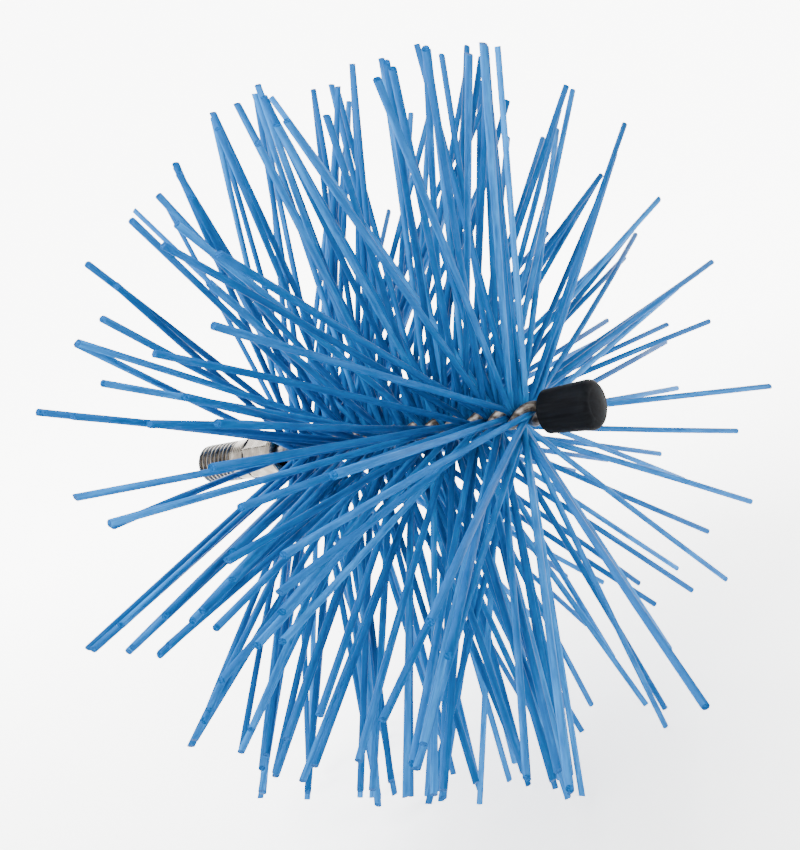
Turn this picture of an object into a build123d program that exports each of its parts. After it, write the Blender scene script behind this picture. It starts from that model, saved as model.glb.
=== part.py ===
# Chimney sweep brush: a twisted wire stem full of stiff plastic filaments, a threaded rod fitting
# crimped onto one end of the stem and a rubber cap pushed over the other.
# All sizes are in millimetres. The stem lies along X, from the thread to the cap, and Z is up.
# The origin is on the stem's axis, at the shoulder between the thread's plain shank and the barrel.

from build123d import *
import os
from math import atan2, cos, pi, radians, sin, sqrt, tan
import numpy as np

os.makedirs("parts", exist_ok=True)

# Rod thread and the plain shank behind it
thread_diameter = 11.8
thread_root_diameter = 9.9
thread_pitch = 1.75
thread_crest_width = 0.3
thread_foot_width = 1.7
thread_sink = 0.45
thread_turns = 9
thread_lead_in = 1.1
shank_diameter = 11.9
shank_length = 4.0

# Crimped barrel
barrel_diameter = 12.5
barrel_length = 12.8
barrel_edge = 0.35
crimp_sides = 8
crimp_across_flats = 11.7
crimp_start = 0.8
crimp_length = 10.0
crimp_notch_diameter = 1.3
crimp_notch_depth = 0.45
mouth_diameter = 8.6
mouth_depth = 2.2
bore_floor = 0.8

# Stem wires
wire_diameter = 2.6
wire_gap = 1.1
wire_lay = 13.85
wire_start_angle = 82.0
wire_clearance = 0.15

# Filaments
tuft_count = 12
filaments_per_tuft = 13
filament_width = 1.6
filament_length = 96.6
stem_margin = 3.2
tuft_angle = 177.0
tuft_gap_angle = 36.0
forward_angle = 5.0
fan_angle = 14.0
steepest_lean = 40.0
filament_clearance = 0.04
merge_radius = 13.5
clamp_width = 0.8
clamp_thickness = 0.7
clamp_reach = 2.3
bend_reach = 3.8
core_clearance = 0.1

# How well an arm of the model suits a place in the picture: each misfit counts as 1 at these sizes,
# and squared beyond. The limits are for leans off the fan and for turns off the way out of the wires
turn_misfit = 8.0
lean_misfit = 20.0
lay_misfit_share = 0.3
picture_misfit = 4.0
seen_lean_limit = 44.0
seen_turn_limit = 30.0
hidden_lean_limit = 18.0
hidden_turn_limit = 22.0

# Leans off the fan and turns that an arm left over may take
lean_tries = np.arange(-26.0, 26.1, 2.0)
turn_tries = np.arange(-22.0, 22.1, 2.0)
covered_pixels = 14.0

# Rubber end cap
cap_length = 14.2
cap_mouth_diameter = 10.7
cap_head_diameter = 12.0
cap_mouth_edge = 0.4
cap_head_round = 2.0
cap_crown = 0.5
cap_depth = 9.5
cap_clearance = 0.12

# Shares, chosen by hand
hidden_shares = np.linspace(0.98, 0.33, 14)
shown_shares = np.linspace(0.3, 1.0, 15)
notch_sink_share = 0.5

# Where the picture of the brush was taken from: the model's origin and the stem's direction, seen from
# the lens as right, up and back, and the turn round the stem that brings Z upright. All its tips are
# view_reach from the stem, and the arms of the model keep their directions at any length
view_focal_pixels = 1060.0
view_middle_pixels = (400.0, 425.0)
view_shoulder = np.array([-43.1, -9.74, -315.45])
view_stem_share = np.array([0.7743, 0.1282, 0.6197])
view_turn = 16.66
view_reach = 96.6

# Arms measured by hand in that picture, in pixels: column and row of the tip, column where the arm
# meets the stem, and 1 if it comes forward, -1 if it goes back, 0 if it may do either
seen_arm_pixels = np.array([
    (86, 263, 333, 0), (101, 318, 375, 0), (76, 342, 374, 0), (101, 383, 408, 0), (152, 353, 460, 1),
    (36, 412, 330, 0), (148, 424, 432, 1), (216, 423, 450, 1), (73, 498, 450, 0), (107, 489, 470, 0),
    (210, 468, 480, 1), (107, 524, 440, 0), (157, 508, 460, 1), (239, 508, 490, 1), (130, 219, 370, 0),
    (133, 209, 370, 0), (157, 194, 382, 0), (175, 223, 398, 0), (161, 244, 455, 1), (208, 282, 470, 1),
    (217, 253, 495, 1), (211, 325, 523, 1), (232, 330, 481, 1), (175, 167, 320, 0), (212, 111, 378, 0),
    (236, 102, 410, 0), (254, 92, 372, 0), (257, 83, 381, 0), (263, 95, 440, 0), (270, 96, 490, 0),
    (276, 123, 452, 0), (92, 651, 325, 0), (127, 653, 347, 0), (158, 656, 405, 0), (167, 647, 368, 0),
    (226, 562, 452, 1), (215, 629, 411, 0), (278, 594, 520, 1), (282, 556, 530, 1), (190, 748, 340, 0),
    (220, 682, 445, 0), (256, 647, 489, 0), (281, 643, 482, 0), (240, 754, 391, 0), (260, 800, 316, 0),
    (275, 775, 350, 0), (286, 741, 400, 0), (307, 801, 334, 0), (319, 717, 425, 0), (314, 768, 427, 0),
    (360, 799, 375, 0), (372, 799, 382, 0), (378, 807, 345, 0), (358, 763, 468, 0), (382, 722, 530, 1),
    (395, 796, 330, 0), (406, 799, 418, 0), (411, 798, 418, 0), (412, 766, 474, 0), (416, 771, 517, 0),
    (427, 797, 447, 0), (434, 797, 428, 0), (443, 800, 463, 0), (454, 776, 365, 0), (480, 790, 375, 0),
    (510, 782, 422, 0), (515, 764, 427, 0), (529, 787, 425, 0), (522, 699, 373, -1), (540, 699, 405, 0),
    (556, 790, 455, 0), (560, 781, 492, 0), (570, 791, 522, 1), (557, 714, 415, 0), (583, 733, 411, 0),
    (592, 706, 455, 0), (540, 625, 370, -1), (535, 667, 380, -1), (587, 625, 392, 0), (567, 577, 390, -1),
    (604, 583, 370, -1), (640, 584, 436, 0), (656, 605, 401, 0), (647, 706, 452, 0), (666, 710, 493, 0),
    (701, 698, 522, 0), (693, 591, 445, 0), (678, 569, 394, 0), (727, 580, 525, 0), (709, 532, 476, 0),
    (752, 502, 500, 0), (738, 431, 460, 0), (697, 450, 451, 0), (661, 454, 435, 0), (657, 459, 424, 0),
    (608, 460, 420, 0), (575, 471, 397, 0), (771, 386, 472, 0), (678, 388, 500, 0), (710, 321, 463, 0),
    (668, 324, 430, 0), (633, 338, 430, 0), (713, 261, 505, 0), (608, 320, 430, 0), (596, 342, 420, 0),
    (625, 257, 469, 0), (660, 198, 459, 0), (553, 312, 386, -1), (627, 117, 530, 1), (602, 174, 407, 0),
    (548, 232, 370, -1), (567, 84, 460, 0), (573, 89, 501, 0), (543, 137, 456, 0), (508, 99, 405, 0),
    (483, 41, 524, 1), (467, 45, 460, 0), (480, 80, 464, 0), (484, 104, 364, -1), (460, 143, 315, -1),
    (425, 46, 490, 0), (430, 100, 415, 0), (411, 112, 395, 0), (376, 77, 528, 1), (381, 57, 455, 0),
    (386, 60, 464, 0), (392, 66, 465, 0), (352, 62, 384, 0), (349, 100, 325, -1), (326, 114, 523, 1),
    (331, 83, 412, 0), (338, 85, 330, 0), (313, 88, 370, 0),
], float)

# Sizes worked out from the ones above
overrun = barrel_diameter
thread_length = thread_turns * thread_pitch
thread_start = -shank_length - thread_length
thread_depth = (thread_diameter - thread_root_diameter) / 2
lead_in_radius = thread_diameter / 2 - thread_lead_in
wire_offset = (wire_diameter + wire_gap) / 2
stem_radius = wire_offset + wire_diameter / 2
bore_diameter = 2 * (stem_radius + wire_clearance)
wire_start = bore_floor + wire_clearance
tuft_length = wire_lay * tuft_angle / 360
bristle_start = barrel_length + stem_margin
cap_start = bristle_start + tuft_count * tuft_length + stem_margin
wire_end = cap_start + cap_depth - cap_clearance
core_radius = wire_gap / 2 - core_clearance
bristle_length = tuft_count * tuft_length
arm_gap = sqrt(2) * filament_width + filament_clearance


def wire_angle(station):
    """Clock angle of the first wire, in degrees from +Y towards +Z. The wires are laid left-handed."""
    return wire_start_angle - 360 * station / wire_lay


def wire_point(station, turn):
    angle = radians(wire_angle(station) + turn)
    return Vector(station, wire_offset * cos(angle), wire_offset * sin(angle))


def wire_tangent(station, turn):
    angle = radians(wire_angle(station) + turn)
    around = 2 * pi * wire_offset / wire_lay
    return Vector(1, around * sin(angle), -around * cos(angle)).normalized()


def biarc_joint(start, start_tangent, end, end_tangent):
    """Point and tangent where two arcs meet smoothly between two points with given tangents."""
    chord = end - start
    a = 2 * (start_tangent.dot(end_tangent) - 1)
    b = -2 * chord.dot(start_tangent + end_tangent)
    c = chord.dot(chord)
    reach = (-b - sqrt(b * b - 4 * a * c)) / (2 * a)
    first = start + start_tangent * reach
    second = end - end_tangent * reach
    return (first + second) / 2, (second - first).normalized()


def unit(vectors):
    return vectors / np.linalg.norm(vectors, axis=-1, keepdims=True)


# Axes of the model seen from the lens, and the place of the lens in the model
stem_seen = unit(view_stem_share)
facing = unit(np.array([0, 0, 1]) - stem_seen[2] * stem_seen)
upright = cos(radians(view_turn)) * np.cross(facing, stem_seen) + sin(radians(view_turn)) * facing
to_model = np.array([stem_seen, np.cross(upright, stem_seen), upright])
lens = -to_model @ view_shoulder


def picture_ray(pixels):
    """Direction in the model of each picture point."""
    right = pixels[..., 0] - view_middle_pixels[0]
    down = pixels[..., 1] - view_middle_pixels[1]
    return unit(np.stack([right, -down, np.full(right.shape, -view_focal_pixels)], -1) @ to_model.T)


def picture_point(places):
    """Picture point of each place in the model."""
    seen = (places - lens) @ to_model
    scale = view_focal_pixels / -seen[..., 2:]
    return np.array(view_middle_pixels) + scale * seen[..., :2] * np.array([1, -1])


def picture_station(columns):
    """Station on the stem's axis that each picture column shows."""
    slope = (columns - view_middle_pixels[0]) / view_focal_pixels
    along = -(slope * view_shoulder[2] + view_shoulder[0]) / (stem_seen[0] + slope * stem_seen[2])
    return np.clip(along, bristle_start, bristle_start + bristle_length)


# Arms in order of tuft, place in the tuft and side. Each tuft fills half a turn of the twist, with half
# of the wider gap at each of its ends, and its filaments leave the wires square to them
arm_count = 2 * tuft_count * filaments_per_tuft
arm_tuft = np.arange(arm_count) // (2 * filaments_per_tuft)
arm_place = np.arange(arm_count) // 2 % filaments_per_tuft
arm_side = np.arange(arm_count) % 2
place_angle = (tuft_angle - tuft_gap_angle) / (filaments_per_tuft - 1)
arm_turn = tuft_gap_angle / 2 + arm_place * place_angle
arm_station = bristle_start + (arm_tuft + arm_turn / tuft_angle) * tuft_length
arm_clock = wire_angle(arm_station) + 90 + 180 * arm_side
arm_fan = forward_angle + fan_angle * (2 * (arm_station - bristle_start) / bristle_length - 1)
arm_root = np.stack([arm_station, 0 * arm_station, 0 * arm_station], 1)
arm_out = np.stack([0 * arm_clock, np.cos(np.radians(arm_clock)), np.sin(np.radians(arm_clock))], 1)
arm_bend = arm_root + bend_reach * arm_out


def past_radius(arms, tips, radius):
    """Where each arm, on its way from its bend to its tip, passes a radius round the stem."""
    tip_radius = np.hypot(tips[:, 1], tips[:, 2])
    share = (radius - bend_reach) / (tip_radius - bend_reach)
    return arm_bend[arms] + (tips - arm_bend[arms]) * share[:, None]


def least_gap(arm, tip, tips):
    """Least distance from an arm's line to those placed. In one tuft they merge near the stem."""
    others = np.nonzero(~np.isnan(tips[:, 0]) & (np.arange(arm_count) != arm))[0]
    if len(others) == 0:
        return view_reach
    radius = np.where(arm_tuft[others] == arm_tuft[arm], merge_radius, bend_reach)
    start = past_radius(np.full(len(others), arm), np.tile(tip, (len(others), 1)), radius)
    other_start = past_radius(others, tips[others], radius)
    line, other_line, between = tip - start, tips[others] - other_start, start - other_start
    a, b, c = (line * line).sum(1), (line * other_line).sum(1), (other_line * other_line).sum(1)
    d, e = (line * between).sum(1), (other_line * between).sum(1)
    share = np.clip((b * e - c * d) / (a * c - b * b), 0, 1)
    other_share = np.clip((b * share + e) / c, 0, 1)
    share = np.clip((b * other_share - d) / a, 0, 1)
    gaps = between + share[:, None] * line - other_share[:, None] * other_line
    return np.linalg.norm(gaps, axis=1).min()


def arm_choices(targets, lean_limit, turn_limit):
    """Tip and misfit for each side of the view, each target pixel row and each arm of the model.

    The tip is where the target's ray is as far from the arm's root as the picture's tips are."""
    ray = picture_ray(targets[:, None, :2])
    offset = arm_root - lens
    middle = (offset * ray).sum(-1)
    half = np.sqrt(np.maximum(view_reach**2 - (offset * offset).sum(-1) + middle**2, 0))
    moved = arm_station - picture_station(targets[:, 2:3])
    tips, misfits = [], []
    for forward in (1, -1):
        way = unit(lens + ray * (middle - forward * half)[..., None] - arm_root)
        tip = arm_root + view_reach * way
        lean = np.degrees(np.arcsin(way[..., 0]))
        turned = (np.degrees(np.arctan2(way[..., 2], way[..., 1])) - arm_clock + 180) % 360 - 180
        missed = np.linalg.norm(picture_point(tip) - targets[:, None, :2], axis=-1)
        misfit = (turned / turn_misfit) ** 2 + ((lean - arm_fan) / lean_misfit) ** 2
        misfit += (moved / (lay_misfit_share * wire_lay)) ** 2 + (missed / picture_misfit) ** 2
        misfit[targets[:, 3] == -forward] = np.inf
        misfit[(np.abs(lean) > steepest_lean) | (np.abs(lean - arm_fan) > lean_limit)] = np.inf
        misfit[np.abs(turned) > turn_limit] = np.inf
        tips.append(tip)
        misfits.append(misfit)
    return np.array(tips), np.array(misfits)


def place_arms(tips, targets, lean_limit, turn_limit):
    """Gives each target the free arm that suits it best and has room, the best pairs first."""
    choice_tips, misfits = arm_choices(targets, lean_limit, turn_limit)
    waiting = np.ones(len(targets), bool)
    free = np.isnan(tips[:, 0])
    for choice in np.argsort(misfits, axis=None):
        forward, target, arm = np.unravel_index(choice, misfits.shape)
        if misfits[forward, target, arm] == np.inf or not free.any():
            break
        tip = choice_tips[forward, target, arm]
        if waiting[target] and free[arm] and least_gap(arm, tip, tips) >= arm_gap:
            waiting[target] = False
            free[arm] = False
            tips[arm] = tip


def hidden_targets():
    """Places behind or before the arms of the picture, at some shares of their lengths in it."""
    targets = [seen_arm_pixels.copy() for share in hidden_shares]
    for target, share in zip(targets, hidden_shares):
        target[:, :2] = seen_arm_start + share * (seen_arm_pixels[:, :2] - seen_arm_start)
        target[:, 3] = 0
    return np.concatenate(targets)


def off_seen_arms(points):
    """Distance of picture points to the nearest arm of the picture."""
    line = seen_arm_pixels[:, :2] - seen_arm_start
    away = points[..., None, :] - seen_arm_start
    share = np.clip((away * line).sum(-1) / (line * line).sum(-1), 0, 1)
    return np.linalg.norm(away - share[..., None] * line, axis=-1).min(-1)


def place_arms_left(tips):
    """Lets each arm left lean and turn where it has room and comes out least between those seen."""
    lean_off, turn_off = (grid.ravel() for grid in np.meshgrid(lean_tries, turn_tries))
    for arm in np.nonzero(np.isnan(tips[:, 0]))[0]:
        lean = np.radians(np.clip(arm_fan[arm] + lean_off, -steepest_lean, steepest_lean))
        clock = np.radians(arm_clock[arm] + turn_off)
        way = np.stack([np.sin(lean), np.cos(lean) * np.cos(clock), np.cos(lean) * np.sin(clock)], 1)
        reach = view_reach * way
        off = off_seen_arms(picture_point(arm_root[arm] + reach[:, None] * shown_shares[:, None]))
        misfit = np.minimum(off, covered_pixels).mean(1) + off[:, -1]
        order = np.argsort(misfit)
        roomy = (pick for pick in order if least_gap(arm, arm_root[arm] + reach[pick], tips) >= arm_gap)
        tips[arm] = arm_root[arm] + reach[next(roomy, order[0])]


stem_places = np.zeros((len(seen_arm_pixels), 3))
stem_places[:, 0] = picture_station(seen_arm_pixels[:, 2])
seen_arm_start = picture_point(stem_places)
arm_tip = np.full((arm_count, 3), np.nan)
place_arms(arm_tip, seen_arm_pixels, seen_lean_limit, seen_turn_limit)
placed = np.count_nonzero(~np.isnan(arm_tip[:, 0]))
print(f"{placed} of {len(seen_arm_pixels)} arms placed as the picture has them")
place_arms(arm_tip, hidden_targets(), hidden_lean_limit, hidden_turn_limit)
print(f"{np.count_nonzero(~np.isnan(arm_tip[:, 0]))} arms placed with those behind them")
place_arms_left(arm_tip)
least = min(least_gap(arm, arm_tip[arm], arm_tip) for arm in range(arm_count))
print(f"{arm_count} arms, least distance between two of their lines {least:.2f} mm")
arm_tip = arm_root + (arm_tip - arm_root) * (filament_length / view_reach)


def arm_plane(arm):
    """Plane of an arm's root, first stretch and tip, moved back by half the filament's thickness."""
    out, way = Vector(*arm_out[arm]), Vector(*(arm_tip[arm] - arm_root[arm]))
    across = way.cross(out).normalized()
    origin = Vector(*arm_root[arm]) - across * (filament_width / 2)
    return Plane(origin=origin, x_dir=out.cross(across), z_dir=across)


def arm_outline(arm):
    """Outline of an arm in its plane: square to the stem between the wires, then bent to its tip."""
    way = arm_tip[arm] - arm_root[arm]
    rise = way @ arm_out[arm]
    tip = (sqrt(way @ way - rise**2), rise)
    lean = atan2(tip[0], tip[1] - bend_reach)
    half = filament_width / 2
    square = (half * cos(lean), -half * sin(lean))
    mitre = half * tan(lean / 2)
    return [
        (half, clamp_reach),
        (half, bend_reach - mitre),
        (tip[0] + square[0], tip[1] + square[1]),
        (tip[0] - square[0], tip[1] - square[1]),
        (-half, bend_reach + mitre),
        (-half, clamp_reach),
    ]


def clamp_plane(station):
    """Plane through the stem's axis in which a filament passes between the wires."""
    angle = radians(wire_angle(station) + 90)
    across = Vector(0, -sin(angle), cos(angle))
    return Plane(
        origin=Vector(station, 0, 0) - across * (clamp_thickness / 2),
        x_dir=(1, 0, 0),
        z_dir=across,
    )


# Threaded rod fitting: one turned piece with a rolled thread, a plain shank and a barrel
# that is crimped onto the stem by eight jaws
with BuildPart() as rod_fitting:
    # Thread: one ridge wound round a root rod, both longer than needed and then cut to length
    with BuildSketch(Plane.YZ.offset(thread_start - thread_pitch)):
        Circle(thread_root_diameter / 2)
    extrude(amount=thread_length + 2 * thread_pitch)
    ridge_radius = thread_root_diameter / 2 - thread_sink
    ridge_start = thread_start - thread_pitch / 2
    with BuildLine() as thread_path:
        Helix(
            pitch=thread_pitch,
            height=thread_length + thread_pitch,
            radius=ridge_radius,
            center=(ridge_start, 0, 0),
            direction=(1, 0, 0),
        )
    outward = (thread_path.line @ 0) - Vector(ridge_start, 0, 0)
    with BuildSketch(Plane(origin=thread_path.line @ 0, x_dir=outward, z_dir=thread_path.line % 0)):
        Polygon(
            (0, -thread_foot_width / 2),
            (thread_sink + thread_depth, -thread_crest_width / 2),
            (thread_sink + thread_depth, thread_crest_width / 2),
            (0, thread_foot_width / 2),
            align=None,
        )
    sweep(path=thread_path.line, is_frenet=True)
    split(bisect_by=Plane.YZ.offset(-shank_length), keep=Keep.BOTTOM)
    # Lead-in: everything outside a cone is turned away from the end of the thread
    with BuildSketch(Plane.XZ):
        Polygon(
            (thread_start - 2 * thread_pitch, 0),
            (thread_start, 0),
            (thread_start, lead_in_radius),
            (thread_start + overrun, lead_in_radius + overrun),
            (thread_start - 2 * thread_pitch, lead_in_radius + overrun),
            align=None,
        )
    revolve(axis=Axis.X, mode=Mode.SUBTRACT)
    # Plain shank and barrel, with the hole for the stem
    with BuildSketch(Plane.XZ):
        Polygon(
            (-shank_length, 0),
            (-shank_length, shank_diameter / 2),
            (0, shank_diameter / 2),
            (0, barrel_diameter / 2 - barrel_edge),
            (barrel_edge, barrel_diameter / 2),
            (barrel_length - barrel_edge, barrel_diameter / 2),
            (barrel_length, barrel_diameter / 2 - barrel_edge),
            (barrel_length, mouth_diameter / 2),
            (barrel_length - mouth_depth, bore_diameter / 2),
            (bore_floor, bore_diameter / 2),
            (bore_floor, 0),
            align=None,
        )
    revolve(axis=Axis.X)
    # Crimp flats pressed into the barrel
    with BuildSketch(Plane.YZ.offset(crimp_start)):
        Circle(overrun)
        RegularPolygon(
            radius=crimp_across_flats / 2,
            side_count=crimp_sides,
            major_radius=False,
            mode=Mode.SUBTRACT,
        )
    extrude(amount=crimp_length, mode=Mode.SUBTRACT)
    # Round notch at the start of each edge between two flats, left by the gap between the jaws
    with BuildSketch(Plane.YZ.offset(crimp_start - crimp_notch_diameter * notch_sink_share)):
        with PolarLocations(barrel_diameter / 2, crimp_sides):
            Circle(crimp_notch_depth)
    extrude(amount=crimp_notch_diameter, mode=Mode.SUBTRACT)
rod_fitting.part.label = "rod_fitting"
export_step(rod_fitting.part, "parts/rod_fitting.step")


# Stem wires: two equal wires twisted round each other with the filaments caught between them
def stem_wire(turn):
    """One wire as an unbroken tube, on two arcs for each quarter turn of the twist, cut off square."""
    spare = wire_diameter
    length = wire_end - wire_start + 2 * spare
    quarters = round(4 * length / wire_lay)
    step = length / quarters
    with BuildPart() as wire:
        with BuildLine() as path:
            for quarter in range(quarters):
                here = wire_start - spare + quarter * step
                start, end = wire_point(here, turn), wire_point(here + step, turn)
                start_tangent, end_tangent = wire_tangent(here, turn), wire_tangent(here + step, turn)
                joint, joint_tangent = biarc_joint(start, start_tangent, end, end_tangent)
                TangentArc(start, joint, tangent=start_tangent)
                TangentArc(joint, end, tangent=joint_tangent)
        with BuildSketch(Plane(origin=path.line @ 0, z_dir=path.line % 0)):
            Circle(wire_diameter / 2)
        sweep(path=path.line)
        split(bisect_by=Plane.YZ.offset(wire_start), keep=Keep.TOP)
        split(bisect_by=Plane.YZ.offset(wire_end), keep=Keep.BOTTOM)
    return wire.part


for number, turn in ((1, 0), (2, 180)):
    wire = stem_wire(turn)
    wire.label = f"stem_wire_{number}"
    export_step(wire, f"parts/{wire.label}.step")

# Least gap of a wire to itself a whole turn on, and to the other wire, measured on points
steps = 400
stations = [wire_start + (wire_end - wire_start) * step / steps for step in range(steps + 1)]
first_wire = [wire_point(station, 0) for station in stations]
second_wire = [wire_point(station, 180) for station in stations]
own_gap = min(
    (first_wire[i] - first_wire[j]).length - wire_diameter
    for i in range(steps + 1)
    for j in range(i)
    if stations[i] - stations[j] > wire_lay / 2
)
other_gap = min((here - there).length - wire_diameter for here in first_wire for there in second_wire)
print(f"least gap of a stem wire to itself {own_gap:.2f} mm, to the other wire {other_gap:.2f} mm")


# Filament tufts: each half turn of the twist holds one tuft, and each filament passes between the
# wires and stands out on both sides as two arms
def filament_tuft(tuft):
    arms = [int(arm) for arm in np.nonzero(arm_tuft == tuft)[0]]
    with BuildPart() as bundle:
        for arm in arms:
            with BuildSketch(arm_plane(arm)):
                Polygon(*arm_outline(arm), align=None)
        extrude(amount=filament_width)
        # Clamped middles between the wires
        for station in sorted({float(arm_station[arm]) for arm in arms}):
            with BuildSketch(clamp_plane(station)):
                Rectangle(clamp_width, 2 * clamp_reach + clamp_width)
        extrude(amount=clamp_thickness)
        # Packed core of the tuft along the stem's axis
        with BuildSketch(Plane.YZ.offset(bristle_start + tuft * tuft_length)):
            Circle(core_radius)
        extrude(amount=tuft_length)
    return bundle.part


for tuft in range(tuft_count):
    bundle = filament_tuft(tuft)
    bundle.label = f"filament_tuft_{tuft + 1:02d}"
    export_step(bundle, f"parts/{bundle.label}.step")


# Rubber cap: a slightly flared sleeve with a rounded, lightly crowned end
mouth_edge = cap_start + cap_mouth_edge
head_shoulder = cap_start + cap_length - cap_crown - cap_head_round
head_flat = cap_head_diameter / 2 - cap_head_round
head_corner = cap_head_round * sqrt(2) / 2
with BuildPart() as end_cap:
    with BuildSketch(Plane.XZ):
        with BuildLine():
            Polyline(
                (cap_start + cap_length, 0),
                (cap_start + cap_depth, 0),
                (cap_start + cap_depth, stem_radius + cap_clearance),
                (cap_start, stem_radius + cap_clearance),
                (cap_start, cap_mouth_diameter / 2 - cap_mouth_edge),
                (mouth_edge, cap_mouth_diameter / 2),
                (head_shoulder, cap_head_diameter / 2),
            )
            ThreePointArc(
                (head_shoulder, cap_head_diameter / 2),
                (head_shoulder + head_corner, head_flat + head_corner),
                (head_shoulder + cap_head_round, head_flat),
            )
            TangentArc(
                (cap_start + cap_length, 0),
                (head_shoulder + cap_head_round, head_flat),
                tangent=(0, 1),
            )
        make_face()
    revolve(axis=Axis.X)
end_cap.part.label = "end_cap"
export_step(end_cap.part, "parts/end_cap.step")
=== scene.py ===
# Chimney sweep brush with blue plastic filaments: its looks, light and camera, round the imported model.
# Lengths are in metres unless a name says otherwise, and the stem lies along X as in the model.

import bpy
import numpy as np
from math import cos, pi, radians, sin
from mathutils import Matrix, Vector


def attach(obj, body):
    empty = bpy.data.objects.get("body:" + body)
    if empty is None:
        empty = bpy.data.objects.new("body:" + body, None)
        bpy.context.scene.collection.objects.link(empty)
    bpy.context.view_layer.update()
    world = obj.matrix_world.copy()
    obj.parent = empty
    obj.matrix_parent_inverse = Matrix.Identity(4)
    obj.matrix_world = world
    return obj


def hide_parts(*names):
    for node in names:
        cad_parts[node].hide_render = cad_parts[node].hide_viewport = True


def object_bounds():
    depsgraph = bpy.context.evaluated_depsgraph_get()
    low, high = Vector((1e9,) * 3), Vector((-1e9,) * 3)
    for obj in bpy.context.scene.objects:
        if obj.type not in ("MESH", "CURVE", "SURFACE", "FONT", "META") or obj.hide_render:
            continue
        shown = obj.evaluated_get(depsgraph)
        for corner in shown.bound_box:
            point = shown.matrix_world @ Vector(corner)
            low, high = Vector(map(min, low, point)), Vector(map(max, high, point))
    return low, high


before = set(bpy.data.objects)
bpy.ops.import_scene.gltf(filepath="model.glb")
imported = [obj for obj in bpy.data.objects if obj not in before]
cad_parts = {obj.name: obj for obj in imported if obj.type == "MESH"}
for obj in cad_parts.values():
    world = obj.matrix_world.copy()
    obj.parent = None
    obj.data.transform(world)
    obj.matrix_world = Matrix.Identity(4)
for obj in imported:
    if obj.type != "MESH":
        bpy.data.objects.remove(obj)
cadLow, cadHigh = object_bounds()
print("model loaded:", len(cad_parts), "nodes")

mm = 0.001
goldenShare = 0.6180339887
plasticShare = 0.754877666


def unit(vectors):
    # every vector divided by its own length
    vectors = np.asarray(vectors, float)
    return vectors / np.linalg.norm(vectors, axis=-1, keepdims=True)


def scatter(count, seed):
    # even numbers from 0 to 1 in a fixed order: the fraction of index * goldenShare + seed * plasticShare
    return (np.arange(count) * goldenShare + seed * plasticShare) % 1.0


def newObject(name, data):
    # an object at the origin, linked into the scene
    thing = bpy.data.objects.new(name, data)
    bpy.context.scene.collection.objects.link(thing)
    return thing


def wallFaces(index):
    # four-cornered faces between each ring and the next, for vertex numbers by ring and corner
    ahead = np.roll(index, -1, -1)
    corners = [index[..., :-1, :], ahead[..., :-1, :], ahead[..., 1:, :], index[..., 1:, :]]
    return np.stack(corners, -1).reshape(-1, 4)


# The eye

eye = {
    "focal": 1060.0,                      # picture points for one unit of depth
    "centre": (400.0, 425.0),             # middle of the picture
    "high": 850.0,                        # the picture's height, its longer side
    "sensor": 36.0,                       # mm
    "near": 0.01,                         # nearest and farthest that the camera draws
    "far": 20.0,
    "shoulder": (-43.1, -9.74, -315.45),  # the model's origin seen from the lens: mm right, up, back
    "stem": (0.7743, 0.1282, 0.6197),     # the way the stem points, in the same axes
    "turn": 16.66,                        # degrees round the stem, so that the eye looks down by 13
}

stemSeen = unit(eye["stem"])
facing = unit(np.array([0, 0, 1.0]) - stemSeen[2] * stemSeen)
aside = np.cross(facing, stemSeen)
upSeen = cos(radians(eye["turn"])) * aside + sin(radians(eye["turn"])) * facing
depthSeen = np.cross(upSeen, stemSeen)
toWorld = np.array([stemSeen, depthSeen, upSeen])   # rows: the model's X, Y and Z seen from the lens
eyePlace = -toWorld @ np.array(eye["shoulder"]) * mm


def rays(pixels):
    # ray of a picture point: toWorld times (right, down turned up, forward)
    right = (pixels[..., 0] - eye["centre"][0]) / eye["focal"]
    down = (pixels[..., 1] - eye["centre"][1]) / eye["focal"]
    return unit(np.stack([right, -down, -np.ones(right.shape)], -1) @ toWorld.T)


def pictured(points):
    # picture point of each place: the lens's centre plus focal times right over depth
    seen = (np.asarray(points) - eyePlace) @ toWorld
    scale = eye["focal"] / -seen[..., 2:]
    return np.array(eye["centre"]) + scale * seen[..., :2] * np.array([1, -1])


def stationAt(pictureX):
    # place along the stem whose image stands at that picture column: right over depth equals its slope
    slope = (np.asarray(pictureX, float) - eye["centre"][0]) / eye["focal"]
    place = np.array(eye["shoulder"])
    return (-slope * place[2] - place[0]) / (stemSeen[0] + slope * stemSeen[2]) * mm


camera = newObject("camera", bpy.data.cameras.new("camera"))
camera.data.sensor_fit = "AUTO"
camera.data.sensor_width = eye["sensor"]
camera.data.lens = eye["sensor"] * eye["focal"] / eye["high"]   # the sensor lies along the longer side
camera.data.clip_start = eye["near"]
camera.data.clip_end = eye["far"]
camera.matrix_world = Matrix.Translation(Vector(eyePlace)) @ Matrix(toWorld.tolist()).to_4x4()
bpy.context.scene.camera = camera
print("camera placed")

# Materials


def linear(code):
    # sRGB hex to linear: each share over 0.04 is ((share + 0.055) / 1.055) to the power 2.4
    shares = [int(code[at:at + 2], 16) / 255 for at in (1, 3, 5)]
    return tuple(s / 12.92 if s <= 0.04045 else ((s + 0.055) / 1.055) ** 2.4 for s in shares) + (1.0,)


def setStops(elements, stops):
    # the stops of a colour ramp, each a position and a hex colour
    while len(elements) < len(stops):
        elements.new(0.5)
    for element, (position, code) in zip(elements, stops):
        element.position = position
        element.color = linear(code)


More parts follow.
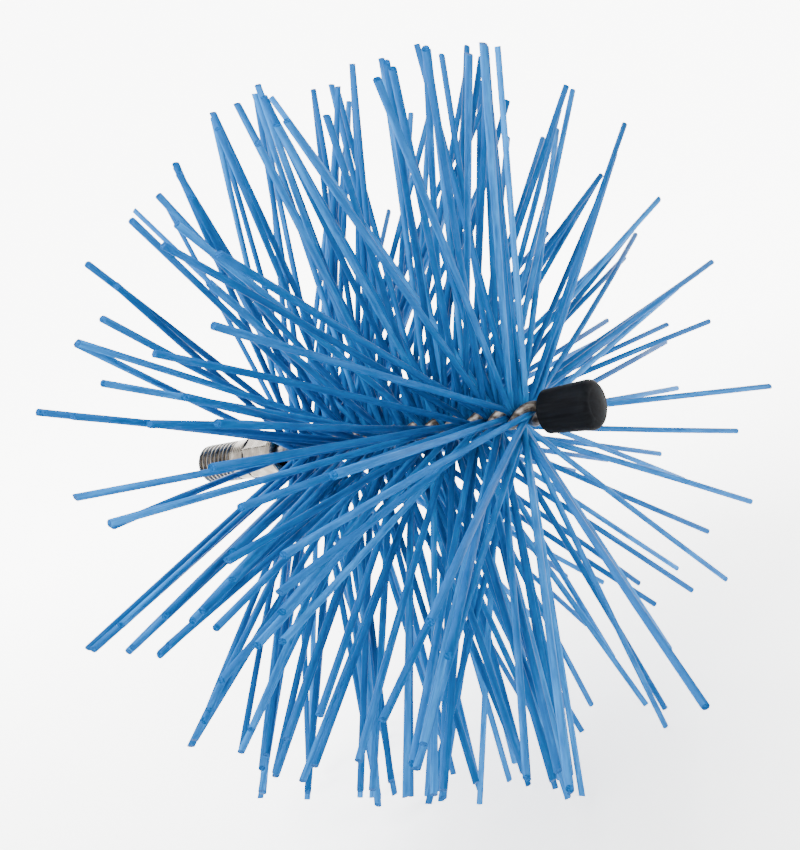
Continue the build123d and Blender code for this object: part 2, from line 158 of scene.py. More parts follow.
def add(tree, kind, settings=None, feeds=None, **links):
    # one node: settings by attribute or socket name, feeds by socket number, and links by socket name
    node = tree.nodes.new(kind)
    for name, value in (settings or {}).items():
        if name == "stops":
            setStops(node.color_ramp.elements, value)
        elif isinstance(name, str) and hasattr(node, name):
            setattr(node, name, value)
        else:
            node.inputs[name].default_value = value
    for number, source in (feeds or {}).items():
        tree.links.new(source, node.inputs[number])
    for name, source in links.items():
        tree.links.new(source, node.inputs[name.replace("_", " ")])
    return node


def blank(name):
    # a new material with an empty node tree, and that tree
    material = bpy.data.materials.new(name)
    material.use_nodes = True
    material.node_tree.nodes.clear()
    return material, material.node_tree


filamentLook = {
    "lit": "#2E80C4", "mid": "#1C528A", "deep": "#0B3868",
    "rough": (0.34, 0.48),
    "gloss": 0.01, "sheen": "#5FAAFA",    # strength and colour of the mirror light
    "ior": 1.53,
    "streak": 0.3,                        # strength of the streaks from the die, wide enough to show
    "around": 3.0, "along": 60.0,         # how often they change round a filament, and in a metre of it
    "darkest": 0.14, "spread": 0.46,      # tone of the darkest filament, and how far up the palest is
}


def extrudedNylon(name, look):
    # Polyamide drawn through a die: bright blue with long faint die streaks and a soft satin face
    material, tree = blank(name)
    strip = add(tree, "ShaderNodeUVMap", {"uv_map": "strip"})
    parts = add(tree, "ShaderNodeSeparateXYZ", Vector=strip.outputs["UV"])
    tone = add(tree, "ShaderNodeAttribute", {"attribute_name": "tone"})
    around = add(tree, "ShaderNodeMath", {"operation": "MULTIPLY", 1: look["around"]},
                 {0: parts.outputs["X"]})
    along = add(tree, "ShaderNodeMath", {"operation": "MULTIPLY", 1: look["along"]},
                {0: parts.outputs["Y"]})
    place = add(tree, "ShaderNodeCombineXYZ",
                X=around.outputs[0], Y=along.outputs[0], Z=tone.outputs["Fac"])
    streaks = add(tree, "ShaderNodeTexNoise", {"noise_dimensions": "3D", "Scale": 2.0, "Detail": 3.0},
                  Vector=place.outputs[0])
    blend = add(tree, "ShaderNodeMapRange", {"From Min": 0.3, "From Max": 0.7},
                Value=streaks.outputs["Fac"])
    level = add(tree, "ShaderNodeMath", {"operation": "MULTIPLY_ADD", 1: look["streak"]},
                {0: blend.outputs[0], 2: tone.outputs["Fac"]})
    colour = add(tree, "ShaderNodeValToRGB",
                 {"stops": [(0.1, look["deep"]), (0.55, look["mid"]), (1.0, look["lit"])]},
                 Fac=level.outputs[0])
    rough = add(tree, "ShaderNodeMapRange", {"To Min": look["rough"][0], "To Max": look["rough"][1]},
                Value=blend.outputs[0])
    bump = add(tree, "ShaderNodeBump", {"Strength": 0.15, "Distance": 0.05 * mm},
               Height=streaks.outputs["Fac"])
    shader = add(tree, "ShaderNodeBsdfPrincipled",
                 {"IOR": look["ior"], "Specular IOR Level": look["gloss"],
                  "Specular Tint": linear(look["sheen"])},
                 Base_Color=colour.outputs[0], Roughness=rough.outputs[0], Normal=bump.outputs[0])
    add(tree, "ShaderNodeOutputMaterial", Surface=shader.outputs[0])
    return material


cutLook = {
    "pale": "#064E8B", "deep": "#032B55",
    "rough": 0.6, "gloss": 0.03, "ior": 1.53,
    "grain": 0.35 * mm,                   # size of the torn grain, coarse enough to show
}


def shearedNylon(name, look):
    # The same polyamide where shears cut it: duller, with a fine torn grain across the end
    material, tree = blank(name)
    where = add(tree, "ShaderNodeTexCoord")
    grain = add(tree, "ShaderNodeTexNoise", {"Scale": 1 / look["grain"], "Detail": 2.0},
                Vector=where.outputs["Object"])
    colour = add(tree, "ShaderNodeValToRGB", {"stops": [(0.35, look["deep"]), (0.7, look["pale"])]},
                 Fac=grain.outputs["Fac"])
    bump = add(tree, "ShaderNodeBump", {"Strength": 0.3, "Distance": 0.08 * mm},
               Height=grain.outputs["Fac"])
    shader = add(tree, "ShaderNodeBsdfPrincipled",
                 {"Roughness": look["rough"], "IOR": look["ior"], "Specular IOR Level": look["gloss"]},
                 Base_Color=colour.outputs[0], Normal=bump.outputs[0])
    add(tree, "ShaderNodeOutputMaterial", Surface=shader.outputs[0])
    return material


wireLook = {
    "scuffed": "#281F19", "dull": "#4A433C", "zinc": "#6C665F", "rubbed": "#98938D",
    "metal": 0.7, "rough": (0.6, 0.42),
    "marks": (0.6 / mm, 1.3 / mm, 1.3 / mm),   # rubbed marks to the mm on X, Y and Z, wide enough to show
    "patch": 4 * mm,                           # size of the dull and the bright patches
}


def drawnWire(name, look):
    # Galvanised steel wire, drawn and then twisted: mottled grey zinc with rubbed streaks and brown scuffs
    material, tree = blank(name)
    where = add(tree, "ShaderNodeTexCoord")
    stretch = add(tree, "ShaderNodeMapping", {"Scale": look["marks"]}, Vector=where.outputs["Object"])
    rub = add(tree, "ShaderNodeTexNoise", {"Scale": 1.0, "Detail": 4.0}, Vector=stretch.outputs[0])
    patch = add(tree, "ShaderNodeTexNoise", {"Scale": 1 / look["patch"], "Detail": 2.0},
                Vector=where.outputs["Object"])
    mix = add(tree, "ShaderNodeMath", {"operation": "MULTIPLY"},
              {0: rub.outputs["Fac"], 1: patch.outputs["Fac"]})
    colour = add(tree, "ShaderNodeValToRGB",
                 {"stops": [(0.14, look["scuffed"]), (0.2, look["dull"]),
                            (0.27, look["zinc"]), (0.4, look["rubbed"])]}, Fac=mix.outputs[0])
    rough = add(tree, "ShaderNodeMapRange", {"To Min": look["rough"][0], "To Max": look["rough"][1]},
                Value=rub.outputs["Fac"])
    bump = add(tree, "ShaderNodeBump", {"Strength": 0.6, "Distance": 0.12 * mm},
               Height=rub.outputs["Fac"])
    shader = add(tree, "ShaderNodeBsdfPrincipled", {"Metallic": look["metal"]},
                 Base_Color=colour.outputs[0], Roughness=rough.outputs[0], Normal=bump.outputs[0])
    add(tree, "ShaderNodeOutputMaterial", Surface=shader.outputs[0])
    return material


plateLook = {
    "dull": "#625C55", "plain": "#837D75", "bright": "#A6A19A",
    "rough": (0.16, 0.34),
    "root": 5.0 * mm, "crest": 5.75 * mm,      # radii where the painted shade in the thread's roots is darkest, and where it ends
    "rootShade": 0.35,                             # share of the brightness that the painted root shade leaves
    "ring": 2.4 * mm,                          # spacing of the tool's rings, coarse enough to show
    "cloud": 3 * mm,                           # size of the cloudy patches
}


def platedSteel(name, look):
    # Turned free-cutting steel with a clear zinc plate: warm silver, with fine rings left by the tool,
    # and painted shade that darkens the roots of the thread
    material, tree = blank(name)
    where = add(tree, "ShaderNodeTexCoord")
    rings = add(tree, "ShaderNodeTexWave",
                {"wave_type": "BANDS", "bands_direction": "X",
                 "Scale": 1 / look["ring"], "Distortion": 0.6, "Detail": 2.0},
                Vector=where.outputs["Object"])
    cloud = add(tree, "ShaderNodeTexNoise", {"Scale": 1 / look["cloud"], "Detail": 4.0},
                Vector=where.outputs["Object"])
    plate = add(tree, "ShaderNodeValToRGB",
                {"stops": [(0.3, look["dull"]), (0.55, look["plain"]), (0.75, look["bright"])]},
                Fac=cloud.outputs["Fac"])
    # painted shade: the plate's colour darkens as the radius from the stem's axis falls, most in the
    # thread's roots
    across = add(tree, "ShaderNodeMapping", {"Scale": (0.0, 1.0, 1.0)}, Vector=where.outputs["Object"])
    radius = add(tree, "ShaderNodeVectorMath", {"operation": "LENGTH"}, {0: across.outputs[0]})
    rootShadeShare = add(tree, "ShaderNodeMapRange",
                {"From Min": look["root"], "From Max": look["crest"], "To Min": look["rootShade"]},
                Value=radius.outputs["Value"])
    rootShadedPlate = add(tree, "ShaderNodeVectorMath", {"operation": "SCALE"}, {0: plate.outputs[0]},
                 Scale=rootShadeShare.outputs[0])
    rough = add(tree, "ShaderNodeMapRange", {"To Min": look["rough"][0], "To Max": look["rough"][1]},
                Value=cloud.outputs["Fac"])
    bump = add(tree, "ShaderNodeBump", {"Strength": 0.2, "Distance": 0.06 * mm},
               Height=rings.outputs["Fac"])
    shader = add(tree, "ShaderNodeBsdfPrincipled", {"Metallic": 1.0},
                 Base_Color=rootShadedPlate.outputs[0], Roughness=rough.outputs[0], Normal=bump.outputs[0])
    add(tree, "ShaderNodeOutputMaterial", Surface=shader.outputs[0])
    return material


rubberLook = {
    "deep": "#0A0B0D", "pale": "#121417",
    "rough": (0.4, 0.58), "gloss": 0.01, "ior": 1.52,
    "flow": (0.06 / mm, 0.9 / mm, 0.9 / mm),   # flow marks to the mm along X, Y and Z
    "grain": 0.4 * mm,                         # size of the fine grain, coarse enough to show
}


def dippedRubber(name, look):
    # Black vinyl rubber, dip-moulded: near black and satin, with faint lengthwise flow marks
    material, tree = blank(name)
    where = add(tree, "ShaderNodeTexCoord")
    stretch = add(tree, "ShaderNodeMapping", {"Scale": look["flow"]}, Vector=where.outputs["Object"])
    flow = add(tree, "ShaderNodeTexNoise", {"Scale": 1.0, "Detail": 3.0}, Vector=stretch.outputs[0])
    grain = add(tree, "ShaderNodeTexNoise", {"Scale": 1 / look["grain"], "Detail": 2.0},
                Vector=where.outputs["Object"])
    colour = add(tree, "ShaderNodeValToRGB", {"stops": [(0.3, look["deep"]), (0.7, look["pale"])]},
                 Fac=flow.outputs["Fac"])
    rough = add(tree, "ShaderNodeMapRange", {"To Min": look["rough"][0], "To Max": look["rough"][1]},
                Value=flow.outputs["Fac"])
    bump = add(tree, "ShaderNodeBump", {"Strength": 0.12, "Distance": 0.05 * mm},
               Height=grain.outputs["Fac"])
    shader = add(tree, "ShaderNodeBsdfPrincipled",
                 {"IOR": look["ior"], "Specular IOR Level": look["gloss"]},
                 Base_Color=colour.outputs[0], Roughness=rough.outputs[0], Normal=bump.outputs[0])
    add(tree, "ShaderNodeOutputMaterial", Surface=shader.outputs[0])
    return material


nylon = extrudedNylon("extrudedBluePolyamide", filamentLook)
nylonCut = shearedNylon("shearedBluePolyamide", cutLook)
galvanised = drawnWire("galvanisedSteelWire", wireLook)
zincPlate = platedSteel("zincPlatedSteel", plateLook)
rubber = dippedRubber("dippedBlackRubber", rubberLook)


def dress(node, material):
    # the node's own mesh keeps its shape and gets another finish
    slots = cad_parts[node].data.materials
    slots.clear()
    slots.append(material)


dress("rod_fitting", zincPlate)
dress("stem_wire_1", galvanised)
dress("stem_wire_2", galvanised)
dress("end_cap", rubber)
print("metal and rubber dressed")

# Filaments

filament = {
    "tufts": 12, "perTuft": 13,
    "thickness": 1.62 * mm,
    "length": 96.6 * mm,                  # from the stem's axis to the tip
    "bend": 3.8 * mm,                     # how far a filament stands square to the stem
    "lay": 13.85 * mm,                    # one turn of the twist
    "startAngle": 82.0,                   # the first wire's clock angle
    "first": 16.0 * mm,                   # where the first tuft starts
    "tuftAngle": 177.0, "tuftGap": 36.0,  # degrees of the twist in one tuft, and in the gap between two
    "lean": 5.0, "fan": 14.0,             # mean lean to the cap, and how much more or less at the ends
    "steepest": 40.0,                     # most lean either way
    "gap": (1.6 * 2 ** 0.5 + 0.04) * mm,  # least distance of two centre lines
    "merge": 13.5 * mm,                   # radius from which it counts within a tuft too
    "turnMisfit": 8.0,                    # degrees of turn off the twist that make one miss
    "leanMisfit": 20.0,                   # degrees of lean that do
    "layMisfit": 0.3,                     # turns of the twist along the stem that do
    "pictureMisfit": 4.0,                 # picture points at the tip that do
    "seenLean": 44.0, "seenTurn": 30.0,      # most degrees off the twist for an arm as seen
    "hiddenLean": 18.0, "hiddenTurn": 22.0,  # the same for one behind or before it
    "leanTries": np.arange(-26.0, 26.1, 2.0), "turnTries": np.arange(-22.0, 22.1, 2.0),
    "hiddenShares": np.linspace(0.98, 0.33, 14),   # places along a seen arm where hidden tips are tried
    "shownShares": np.linspace(0.3, 1.0, 15),      # places along a new arm where its cover is measured
    "covered": 14.0,                      # picture points off the seen arms past which more doesn't count
    "ballRows": (39, 808),                # rows of the picture past which an arm is cut shorter
    "shortShare": 0.95, "cutShare": 0.995,   # how long that arm and the other arms are
    "bow": 0.6 * mm,                      # most that an arm is bowed
    "slant": 0.45,                        # steepest slope of a cut end
}

# Arms measured in the picture: column and row of the tip, column where the arm meets the stem,
# and 1 if it comes forward, -1 if it goes back, 0 if it may do either
seenArms = np.array([
    (86, 263, 333, 0), (101, 318, 375, 0), (76, 342, 374, 0), (101, 383, 408, 0), (152, 353, 460, 1),
    (36, 412, 330, 0), (148, 424, 432, 1), (216, 423, 450, 1), (73, 498, 450, 0), (107, 489, 470, 0),
    (210, 468, 480, 1), (107, 524, 440, 0), (157, 508, 460, 1), (239, 508, 490, 1), (130, 219, 370, 0),
    (133, 209, 370, 0), (157, 194, 382, 0), (175, 223, 398, 0), (161, 244, 455, 1), (208, 282, 470, 1),
    (217, 253, 495, 1), (211, 325, 523, 1), (232, 330, 481, 1), (175, 167, 320, 0), (212, 111, 378, 0),
    (236, 102, 410, 0), (254, 92, 372, 0), (257, 83, 381, 0), (263, 95, 440, 0), (270, 96, 490, 0),
    (276, 123, 452, 0), (92, 651, 325, 0), (127, 653, 347, 0), (158, 656, 405, 0), (167, 647, 368, 0),
    (226, 562, 452, 1), (215, 629, 411, 0), (278, 594, 520, 1), (282, 556, 530, 1), (190, 748, 340, 0),
    (220, 682, 445, 0), (256, 647, 489, 0), (281, 643, 482, 0), (240, 754, 391, 0), (260, 800, 316, 0),
    (275, 775, 350, 0), (286, 741, 400, 0), (307, 801, 334, 0), (319, 717, 425, 0), (314, 768, 427, 0),
    (360, 799, 375, 0), (372, 799, 382, 0), (378, 807, 345, 0), (358, 763, 468, 0), (382, 722, 530, 1),
    (395, 796, 330, 0), (406, 799, 418, 0), (411, 798, 418, 0), (412, 766, 474, 0), (416, 771, 517, 0),
    (427, 797, 447, 0), (434, 797, 428, 0), (443, 800, 463, 0), (454, 776, 365, 0), (480, 790, 375, 0),
    (510, 782, 422, 0), (515, 764, 427, 0), (529, 787, 425, 0), (522, 699, 373, -1), (540, 699, 405, 0),
    (556, 790, 455, 0), (560, 781, 492, 0), (570, 791, 522, 1), (557, 714, 415, 0), (583, 733, 411, 0),
    (592, 706, 455, 0), (540, 625, 370, -1), (535, 667, 380, -1), (587, 625, 392, 0), (567, 577, 390, -1),
    (604, 583, 370, -1), (640, 584, 436, 0), (656, 605, 401, 0), (647, 706, 452, 0), (666, 710, 493, 0),
    (701, 698, 522, 0), (693, 591, 445, 0), (678, 569, 394, 0), (727, 580, 525, 0), (709, 532, 476, 0),
    (752, 502, 500, 0), (738, 431, 460, 0), (697, 450, 451, 0), (661, 454, 435, 0), (657, 459, 424, 0),
    (608, 460, 420, 0), (575, 471, 397, 0), (771, 386, 472, 0), (678, 388, 500, 0), (710, 321, 463, 0),
    (668, 324, 430, 0), (633, 338, 430, 0), (713, 261, 505, 0), (608, 320, 430, 0), (596, 342, 420, 0),
    (625, 257, 469, 0), (660, 198, 459, 0), (553, 312, 386, -1), (627, 117, 530, 1), (602, 174, 407, 0),
    (548, 232, 370, -1), (567, 84, 460, 0), (573, 89, 501, 0), (543, 137, 456, 0), (508, 99, 405, 0),
    (483, 41, 524, 1), (467, 45, 460, 0), (480, 80, 464, 0), (484, 104, 364, -1), (460, 143, 315, -1),
    (425, 46, 490, 0), (430, 100, 415, 0), (411, 112, 395, 0), (376, 77, 528, 1), (381, 57, 455, 0),
    (386, 60, 464, 0), (392, 66, 465, 0), (352, 62, 384, 0), (349, 100, 325, -1), (326, 114, 523, 1),
    (331, 83, 412, 0), (338, 85, 330, 0), (313, 88, 370, 0),
], float)

armCount = 2 * filament["tufts"] * filament["perTuft"]
armTuft = np.arange(armCount) // (2 * filament["perTuft"])
armPlace = np.arange(armCount) // 2 % filament["perTuft"]
tuftLength = filament["lay"] * filament["tuftAngle"] / 360
bristleLength = filament["tufts"] * tuftLength
armTurn = (filament["tuftGap"] / 2
           + armPlace * (filament["tuftAngle"] - filament["tuftGap"]) / (filament["perTuft"] - 1))
armStation = filament["first"] + (armTuft + armTurn / filament["tuftAngle"]) * tuftLength
armSide = np.arange(armCount) % 2
armClock = filament["startAngle"] - 360 * armStation / filament["lay"] + 90 + 180 * armSide
armFan = filament["lean"] + filament["fan"] * (2 * (armStation - filament["first"]) / bristleLength - 1)
armRoot = np.stack([armStation, 0 * armStation, 0 * armStation], 1)
armOut = np.stack([0 * armClock, np.cos(np.radians(armClock)), np.sin(np.radians(armClock))], 1)
armBend = armRoot + filament["bend"] * armOut


def onStem(columns):
    # place along the stem under a picture column, held within the bristles
    return np.clip(stationAt(columns), filament["first"], filament["first"] + bristleLength)


def pastRadius(arms, tips, radius):
    # point of each arm between its bend and its tip that lies at a radius from the stem
    share = (radius - filament["bend"]) / (np.hypot(tips[:, 1], tips[:, 2]) - filament["bend"])
    return armBend[arms] + (tips - armBend[arms]) * share[:, None]


def leastGap(arm, tip, tips):
    # least distance of two straight lines, each held within its length, for one arm and all those placed
    others = np.nonzero(~np.isnan(tips[:, 0]) & (np.arange(armCount) != arm))[0]
    if len(others) == 0:
        return filament["length"]
    radius = np.where(armTuft[others] == armTuft[arm], filament["merge"], filament["bend"])
    start = pastRadius(np.full(len(others), arm), np.tile(tip, (len(others), 1)), radius)
    otherStart = pastRadius(others, tips[others], radius)
    line, otherLine, between = tip - start, tips[others] - otherStart, start - otherStart
    a, b, c = (line * line).sum(1), (line * otherLine).sum(1), (otherLine * otherLine).sum(1)
    d, e = (line * between).sum(1), (otherLine * between).sum(1)
    share = np.clip((b * e - c * d) / (a * c - b * b), 0, 1)
    otherShare = np.clip((b * share + e) / c, 0, 1)
    share = np.clip((b * otherShare - d) / a, 0, 1)
    return np.linalg.norm(between + share[:, None] * line - otherShare[:, None] * otherLine, axis=1).min()


def armChoices(targets, leanLimit, turnLimit):
    # tip = where the target's ray is one filament length from the root; misfit = sum of squared misses
    ray = rays(targets)[:, None]
    offset = armRoot - eyePlace
    middle = (offset * ray).sum(-1)
    half = np.sqrt(np.maximum(filament["length"] ** 2 - (offset * offset).sum(-1) + middle ** 2, 0))
    moved = armStation - onStem(targets[:, 2:3])
    tips, misfits = [], []
    for forward in (1, -1):
        way = unit(eyePlace + ray * (middle - forward * half)[..., None] - armRoot)
        tip = armRoot + filament["length"] * way
        lean = np.degrees(np.arcsin(way[..., 0]))
        turned = (np.degrees(np.arctan2(way[..., 2], way[..., 1])) - armClock + 180) % 360 - 180
        missed = np.linalg.norm(pictured(tip) - targets[:, None, :2], axis=-1)
        misfit = (turned / filament["turnMisfit"]) ** 2 + ((lean - armFan) / filament["leanMisfit"]) ** 2
        misfit += (moved / (filament["layMisfit"] * filament["lay"])) ** 2
        misfit += (missed / filament["pictureMisfit"]) ** 2
        misfit[targets[:, 3] == -forward] = np.inf
        misfit[(np.abs(lean) > filament["steepest"]) | (np.abs(lean - armFan) > leanLimit)] = np.inf
        misfit[np.abs(turned) > turnLimit] = np.inf
        tips.append(tip)
        misfits.append(misfit)
    return np.array(tips), np.array(misfits)


def placeArms(tips, targets, leanLimit, turnLimit):
    # each target gets the free arm that suits it best and has room, the best pairs first
    choiceTips, misfits = armChoices(targets, leanLimit, turnLimit)
    waiting = np.ones(len(targets), bool)
    free = np.isnan(tips[:, 0])
    for choice in np.argsort(misfits, axis=None):
        forward, target, arm = np.unravel_index(choice, misfits.shape)
        if misfits[forward, target, arm] == np.inf or not free.any():
            break
        tip = choiceTips[forward, target, arm]
        if waiting[target] and free[arm] and leastGap(arm, tip, tips) >= filament["gap"]:
            waiting[target] = False
            free[arm] = False
            tips[arm] = tip


def hiddenTargets():
    # places behind or before the seen arms, at some shares of their lengths in the picture
    shares = filament["hiddenShares"][:, None, None]
    targets = np.tile(seenArms, (len(shares), 1, 1))
    targets[..., :2] = seenStart + shares * (seenArms[:, :2] - seenStart)
    targets[..., 3] = 0
    return targets.reshape(-1, 4)


def offSeenArms(points):
    # distance of picture points to the nearest seen arm's line
    line = seenArms[:, :2] - seenStart
    away = points[..., None, :] - seenStart
    share = np.clip((away * line).sum(-1) / (line * line).sum(-1), 0, 1)
    return np.linalg.norm(away - share[..., None] * line, axis=-1).min(-1)


def placeArmsLeft(tips):
    # each arm left leans and turns where it has room and comes out least between those seen
    leanOff, turnOff = (grid.ravel() for grid in np.meshgrid(filament["leanTries"], filament["turnTries"]))
    shares = filament["shownShares"][:, None]
    for arm in np.nonzero(np.isnan(tips[:, 0]))[0]:
        lean = np.radians(np.clip(armFan[arm] + leanOff, -filament["steepest"], filament["steepest"]))
        clock = np.radians(armClock[arm] + turnOff)
        way = np.stack([np.sin(lean), np.cos(lean) * np.cos(clock), np.cos(lean) * np.sin(clock)], 1)
        reach = filament["length"] * way
        off = offSeenArms(pictured(armRoot[arm] + reach[:, None] * shares))
        misfit = np.minimum(off, filament["covered"]).mean(1) + off[:, -1]
        order = np.argsort(misfit)
        spots = armRoot[arm] + reach
        roomy = (pick for pick in order if leastGap(arm, spots[pick], tips) >= filament["gap"])
        tips[arm] = spots[next(roomy, order[0])]


stemPlaces = np.zeros((len(seenArms), 3))
stemPlaces[:, 0] = onStem(seenArms[:, 2])
seenStart = pictured(stemPlaces)
armTip = np.full((armCount, 3), np.nan)
placeArms(armTip, seenArms, filament["seenLean"], filament["seenTurn"])
print("arms as seen:", np.count_nonzero(~np.isnan(armTip[:, 0])), "of", len(seenArms))
placeArms(armTip, hiddenTargets(), filament["hiddenLean"], filament["hiddenTurn"])
print("with the arms behind them:", np.count_nonzero(~np.isnan(armTip[:, 0])))
placeArmsLeft(armTip)
tipRow = pictured(armTip)[:, 1]
isPast = (tipRow < filament["ballRows"][0]) | (tipRow > filament["ballRows"][1])
armCut = np.where(isPast, filament["shortShare"], filament["cutShare"])
print("arms in all:", armCount)

rings = np.array([0.0, 0.04, 0.2, 0.45, 0.72, 1.0])    # places of the rings along an arm
corners = np.radians(np.arange(0.0, 360.0, 45.0))      # corners of the section, which is nearly round
cornerReach = np.tile([1.0, 1.03, 1.0, 0.97], 2)


def armMesh(name, arms):
    # centre line C(t) = root at t = 0, bend + (tip - bend) * cut * (t - t1) / (1 - t1) from ring t1 on,
    # and 4 t (1 - t) * bow more; surface = C(t) + radius * reach(corner) * (cos a * side + sin a * across)
    count, ringCount, sides = len(arms), len(rings), len(corners)
    root, bend, tip = armRoot[arms], armBend[arms], armTip[arms]
    t = rings[None, :, None]
    share = armCut[arms][:, None, None] * (t - rings[1]) / (1 - rings[1])
    line = np.where(t < rings[1], root[:, None] + 0 * t, bend[:, None] + (tip - bend)[:, None] * share)
    heading = unit(tip - bend)
    side = unit(np.cross(heading, np.array([1.0, 0, 0])))
    across = np.cross(heading, side)
    bowAngle = 2 * pi * scatter(count, 5 + arms[0])
    bowSize = filament["bow"] * (2 * scatter(count, 7) - 1)
    bowWay = np.cos(bowAngle)[:, None] * side + np.sin(bowAngle)[:, None] * across
    line = line + (4 * t * (1 - t)) * bowWay[:, None] * bowSize[:, None, None]
    turn = (2 * pi * scatter(count, 11))[:, None] + corners[None]
    ringWay = (np.cos(turn)[..., None] * side[:, None] + np.sin(turn)[..., None] * across[:, None])
    ringWay = ringWay * (cornerReach * filament["thickness"] / 2)[None, :, None]
    points = line[:, :, None] + ringWay[:, None]
    slope = filament["slant"] * (2 * scatter(count, 13) - 1)
    slant = slope[:, None] * np.cos(corners)[None] * filament["thickness"] / 2
    points[:, -1] += heading[:, None] * slant[..., None]
    index = np.arange(count * ringCount * sides).reshape(count, ringCount, sides)
    walls = wallFaces(index)
    ends = np.concatenate([index[:, -1], index[:, 0, ::-1]])
    mesh = bpy.data.meshes.new(name)
    mesh.from_pydata(points.reshape(-1, 3).tolist(), [], walls.tolist() + ends.tolist())
    mesh.materials.append(nylon)
    mesh.materials.append(nylonCut)
    isEnd = np.zeros(len(walls) + len(ends), np.int32)
    isEnd[len(walls):] = 1
    mesh.polygons.foreach_set("material_index", isEnd)
    mesh.polygons.foreach_set("use_smooth", isEnd == 0)
    tone = mesh.attributes.new("tone", "FLOAT", "POINT")
    shade = filamentLook["darkest"] + filamentLook["spread"] * scatter(count, 17 + arms[0])
    tone.data.foreach_set("value", np.repeat(shade, ringCount * sides))
    corner = np.zeros(len(mesh.loops), np.int32)
    mesh.loops.foreach_get("vertex_index", corner)
    around = (corner % sides) / sides
    along = rings[(corner // sides) % ringCount] * filament["length"]
    strip = mesh.uv_layers.new(name="strip")
    strip.data.foreach_set("uv", np.stack([around, along], 1).ravel())
    mesh.update()
    return mesh


for number in range(filament["tufts"]):
    name = f"filaments_{number + 1:02d}"
    tuft = newObject(name, armMesh(name, np.nonzero(armTuft == number)[0]))
    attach(tuft, "root")
    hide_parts(f"filament_tuft_{number + 1:02d}")
print("filaments made")

# Floor and light

studio = {
    "drop": 0.5 * mm,                     # floor below the lowest tips
    "inner": [0.05, 0.4],                 # radii of the rings in the flat part
    "flat": 0.9,                          # radius where the floor starts to rise into the wall
    "wall": 1.9, "height": 1.8,           # radius and height of the wall's edge
    "turns": 96, "rises": 17,             # corners round the board, and rings up its wall
    "colour": "#F4F4F3",
    "rough": (0.85, 0.95), "grain": 2.5 * mm,
    "glow": (0.12, 7.0),                  # strength of the board's own light before and behind the brush
    "rise": (-0.35, 0.45),                # from where to where it grows, along the way the eye looks
    "panel": (1.0, 1.6),                  # half width of the lit part, and where its light has gone
    "air": 0.06,                          # strength of the light from all round
}
topSoftbox = {"place": (0.0, -0.35, 0.62), "size": (0.5, 0.4), "power": 18}
sideSoftbox = {"place": (-0.35, -0.65, 0.35), "size": (0.4, 0.5), "power": 2}

brushMiddle = (cadLow + cadHigh) / 2
awayFromEye = np.arctan2(-eyePlace[1], brushMiddle.x - eyePlace[0])    # the way the eye looks, round Z


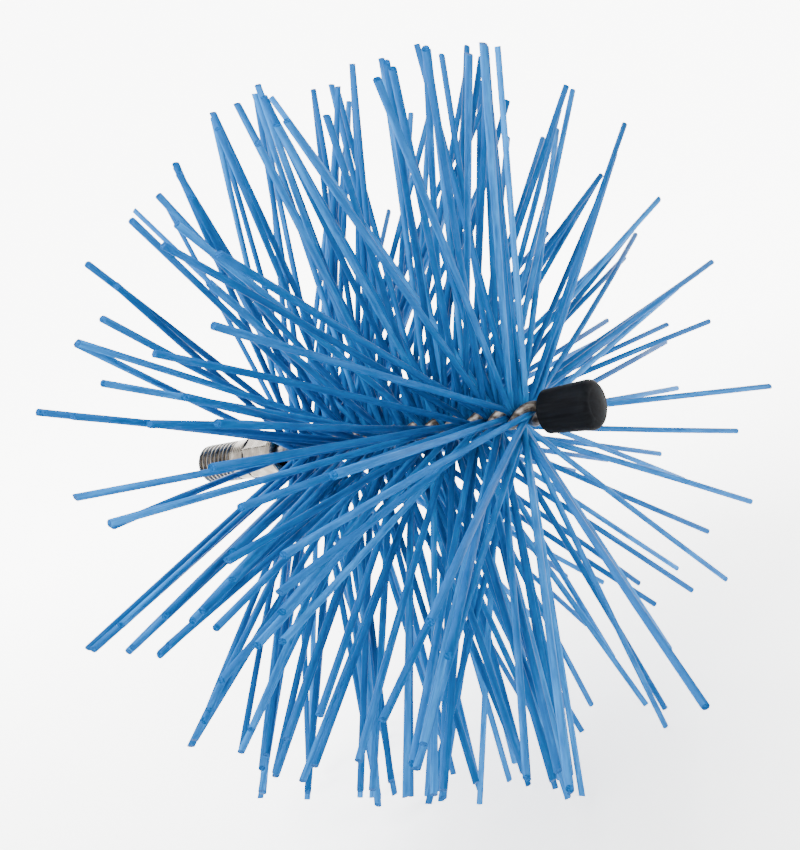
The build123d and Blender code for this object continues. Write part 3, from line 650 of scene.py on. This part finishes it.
def studioBoard(name):
    # Matt white board, lit through from behind as a light tent is: bare white behind the brush
    material, tree = blank(name)
    where = add(tree, "ShaderNodeTexCoord")
    grain = add(tree, "ShaderNodeTexNoise", {"Scale": 1 / studio["grain"]}, Vector=where.outputs["Object"])
    rough = add(tree, "ShaderNodeMapRange", {"To Min": studio["rough"][0], "To Max": studio["rough"][1]},
                Value=grain.outputs["Fac"])
    along = add(tree, "ShaderNodeMapping", {"Rotation": (0.0, 0.0, -awayFromEye)},
                Vector=where.outputs["Object"])
    place = add(tree, "ShaderNodeSeparateXYZ", Vector=along.outputs[0])
    behind = add(tree, "ShaderNodeMapRange",
                 {"interpolation_type": "SMOOTHSTEP", "From Min": studio["rise"][0],
                  "From Max": studio["rise"][1]}, Value=place.outputs["X"])
    sideways = add(tree, "ShaderNodeMath", {"operation": "ABSOLUTE"}, {0: place.outputs["Y"]})
    within = add(tree, "ShaderNodeMapRange",
                 {"interpolation_type": "SMOOTHSTEP", "From Min": studio["panel"][1],
                  "From Max": studio["panel"][0]}, Value=sideways.outputs[0])
    lit = add(tree, "ShaderNodeMath", {"operation": "MULTIPLY"},
              {0: behind.outputs[0], 1: within.outputs[0]})
    glow = add(tree, "ShaderNodeMapRange", {"To Min": studio["glow"][0], "To Max": studio["glow"][1]},
               Value=lit.outputs[0])
    shader = add(tree, "ShaderNodeBsdfPrincipled",
                 {"Base Color": linear(studio["colour"]), "Emission Color": linear(studio["colour"]),
                  "Specular IOR Level": 0.0},
                 Roughness=rough.outputs[0], Emission_Strength=glow.outputs[0])
    add(tree, "ShaderNodeOutputMaterial", Surface=shader.outputs[0])
    return material


def tentMesh(name):
    # a disc that rises into a wall: radius = flat + (wall - flat) sin u, height = height (1 - cos u)
    turns = np.linspace(0, 2 * pi, studio["turns"] + 1)[:-1]
    rise = np.linspace(0, pi / 2, studio["rises"])
    inner = np.array(studio["inner"])
    radius = np.concatenate([inner, studio["flat"] + (studio["wall"] - studio["flat"]) * np.sin(rise)])
    height = np.concatenate([0 * inner, studio["height"] * (1 - np.cos(rise))]) + cadLow.z - studio["drop"]
    points = np.stack([radius[:, None] * np.cos(turns), radius[:, None] * np.sin(turns),
                       height[:, None] + 0 * turns], -1)
    index = np.arange(len(radius) * len(turns)).reshape(len(radius), len(turns))
    walls = wallFaces(index)[:, ::-1]
    mesh = bpy.data.meshes.new(name)
    mesh.from_pydata(points.reshape(-1, 3).tolist(), [], walls.tolist() + [index[0].tolist()])
    mesh.polygons.foreach_set("use_smooth", np.ones(len(mesh.polygons), bool))
    mesh.materials.append(studioBoard("whiteStudioBoard"))
    return mesh


floor = newObject("floor", tentMesh("floor"))


def softLight(name, box):
    # a rectangle of light that faces the middle of the brush
    light = bpy.data.lights.new(name, "AREA")
    light.shape = "RECTANGLE"
    light.size, light.size_y = box["size"]
    light.energy = box["power"]
    lamp = newObject(name, light)
    lamp.location = box["place"]
    lamp.rotation_mode = "QUATERNION"
    lamp.rotation_quaternion = (brushMiddle - Vector(box["place"])).to_track_quat("-Z", "Y")


softLight("topSoftbox", topSoftbox)
softLight("sideSoftbox", sideSoftbox)

world = bpy.data.worlds.new("studioAir")
bpy.context.scene.world = world
world.use_nodes = True
world.node_tree.nodes.clear()
air = add(world.node_tree, "ShaderNodeBackground", {"Color": linear("#FFFFFF"), "Strength": studio["air"]})
add(world.node_tree, "ShaderNodeOutputWorld", Surface=air.outputs[0])
print("studio set")
